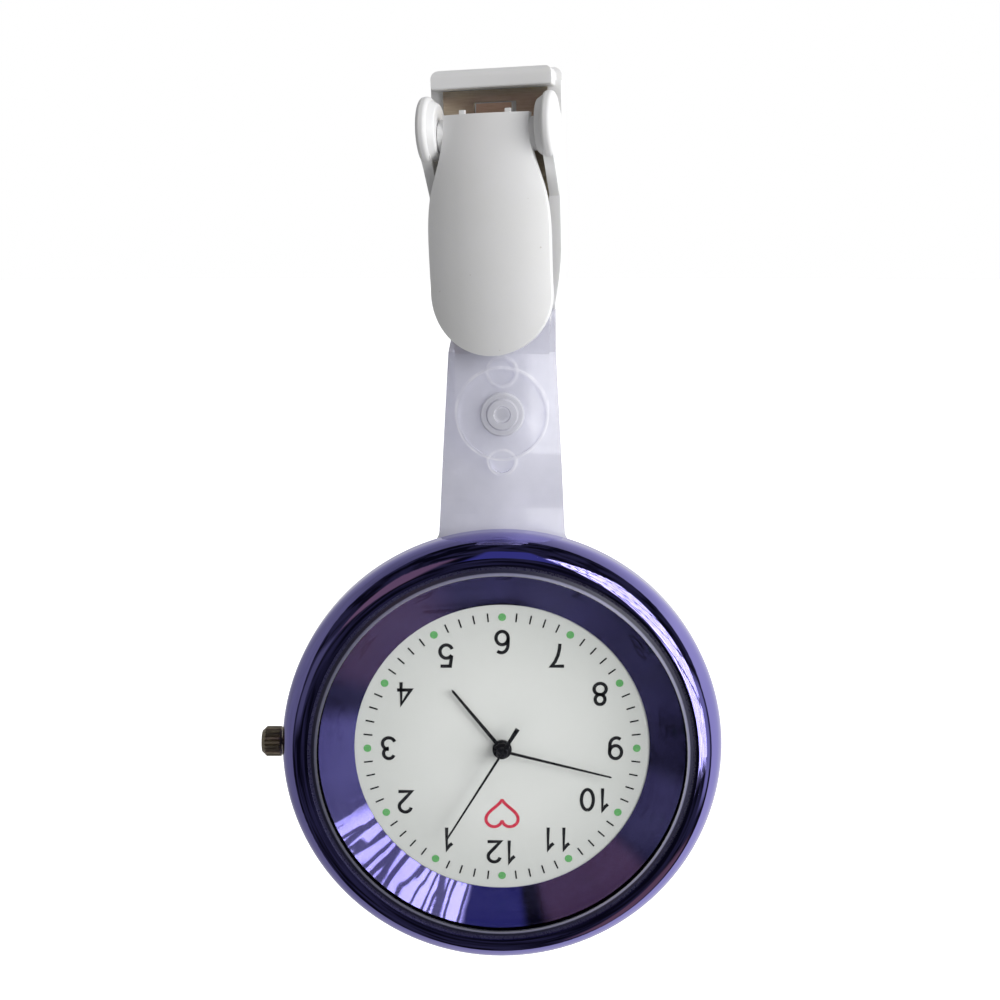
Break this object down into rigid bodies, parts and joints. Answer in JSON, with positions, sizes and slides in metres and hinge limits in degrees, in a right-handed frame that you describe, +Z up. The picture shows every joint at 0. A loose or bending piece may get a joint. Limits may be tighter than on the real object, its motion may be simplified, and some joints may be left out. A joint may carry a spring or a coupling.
{
  "type": "fob watch",
  "caption": "Quartz fob watch with an upside-down dial in a round plated case, hung by a clear snap strap from a white lever garment clip.",
  "frame": {"origin": "middle of the garment clip jaw, straight above the strap bar", "axes": "+Z up when the watch hangs, dial facing -Y, crown on the -X side"},
  "size_m": [0.0443, 0.0102, 0.0841],
  "materials": {
    "plated_case": "polished",
    "plated_ring": "polished",
    "crystal_glass": "polished",
    "gasket": "satin",
    "steel_back": "satin",
    "dial_white": "matte",
    "hand_black": "gloss",
    "crown_bronze": "satin",
    "brass_wheel": "satin",
    "steel": "satin",
    "movement_plastic": "matte",
    "holder_plastic": "matte",
    "copper_coil": "satin",
    "board": "satin",
    "chip_resin": "satin",
    "battery_steel": "polished",
    "clear_strap": "gloss",
    "clear_snap": "gloss",
    "white_plastic": "satin",
    "spring_nickel": "satin"
  },
  "bodies": {
    "clip": {"clip_base": "white_plastic", "clip_pin": "steel", "clip_spring": "spring_nickel"},
    "lever": {"clip_lever": "white_plastic"},
    "watch": {"case_body": "plated_case", "crystal": "crystal_glass", "crystal_gasket": "gasket", "rehaut_ring": "plated_ring", "case_back": "steel_back", "back_gasket": "gasket", "movement_ring": "holder_plastic", "crown_tube": "brass_wheel", "dial": "dial_white", "main_plate": "movement_plastic", "train_bridge": "steel", "bridge_screws": "steel", "battery": "battery_steel", "battery_clamp": "steel", "coil_core": "steel", "coil_winding": "copper_coil", "stator": "steel", "circuit_board": "board", "circuit_chip": "chip_resin", "quartz_can": "steel", "strap": "clear_strap", "snap_front_cap": "clear_snap", "snap_socket": "clear_snap", "snap_stud": "clear_snap", "snap_rear_cap": "clear_snap"},
    "setting_pinion": {"setting_pinion": "steel"},
    "crown": {"crown": "crown_bronze", "stem": "steel"},
    "second": {"fourth_wheel": "brass_wheel", "second_hand": "hand_black"},
    "minute": {"centre_wheel": "brass_wheel", "minute_hand": "hand_black"},
    "hour": {"hour_wheel": "brass_wheel", "hour_hand": "hand_black"},
    "third_wheel": {"third_wheel": "brass_wheel"},
    "minute_wheel": {"minute_wheel": "brass_wheel"},
    "intermediate_wheel": {"intermediate_wheel": "brass_wheel"},
    "rotor": {"rotor": "steel"}
  },
  "joints": [
    {"name": "watch_swing", "type": "hinge", "parent": "clip", "child": "watch", "pos_m": [0, 0, -0.0167], "axis": [0.9777, -0.2078, 0.0314], "range_deg": [-7, 80]},
    {"name": "lever_open", "type": "hinge", "parent": "clip", "child": "lever", "pos_m": [-0.00117, -0.00241, -0.00251], "axis": [-0.9777, 0.2078, -0.0314], "range_deg": [0, 100]},
    {"name": "crown_spin", "type": "hinge", "parent": "watch", "child": "setting_pinion", "pos_m": [-0.0066, 0.00073, -0.0595], "axis": [-1, 0, 0], "continuous": true},
    {"name": "crown_pull", "type": "slide", "parent": "setting_pinion", "child": "crown", "axis": [-1, 0, 0], "range_m": [0, 0.0008]},
    {"name": "second_spin", "type": "hinge", "parent": "watch", "child": "second", "pos_m": [0, 0.00098, -0.0595], "axis": [0, 1, 0], "continuous": true},
    {"name": "minute_spin", "type": "hinge", "parent": "watch", "child": "minute", "pos_m": [0, 0.00098, -0.0595], "axis": [0, 1, 0], "continuous": true},
    {"name": "hour_spin", "type": "hinge", "parent": "watch", "child": "hour", "pos_m": [0, 0.00098, -0.0595], "axis": [0, 1, 0], "continuous": true},
    {"name": "third_spin", "type": "hinge", "parent": "watch", "child": "third_wheel", "pos_m": [-0.00216, 0.00098, -0.06166], "axis": [0, 1, 0], "continuous": true},
    {"name": "minute_wheel_spin", "type": "hinge", "parent": "watch", "child": "minute_wheel", "pos_m": [-0.003, 0.00098, -0.0595], "axis": [0, 1, 0], "continuous": true},
    {"name": "intermediate_spin", "type": "hinge", "parent": "watch", "child": "intermediate_wheel", "pos_m": [0.00156, 0.00098, -0.0568], "axis": [0, 1, 0], "continuous": true},
    {"name": "rotor_spin", "type": "hinge", "parent": "watch", "child": "rotor", "pos_m": [0.00393, 0.00098, -0.05594], "axis": [0, 1, 0], "continuous": true}
  ],
  "couplings": [
    {"joint": "third_spin", "follows": "second_spin", "ratio": -0.13333},
    {"joint": "minute_spin", "follows": "second_spin", "ratio": 0.016667},
    {"joint": "minute_wheel_spin", "follows": "second_spin", "ratio": -0.0055556},
    {"joint": "hour_spin", "follows": "second_spin", "ratio": 0.0013889},
    {"joint": "intermediate_spin", "follows": "second_spin", "ratio": -5},
    {"joint": "rotor_spin", "follows": "second_spin", "ratio": 30}
  ]
}
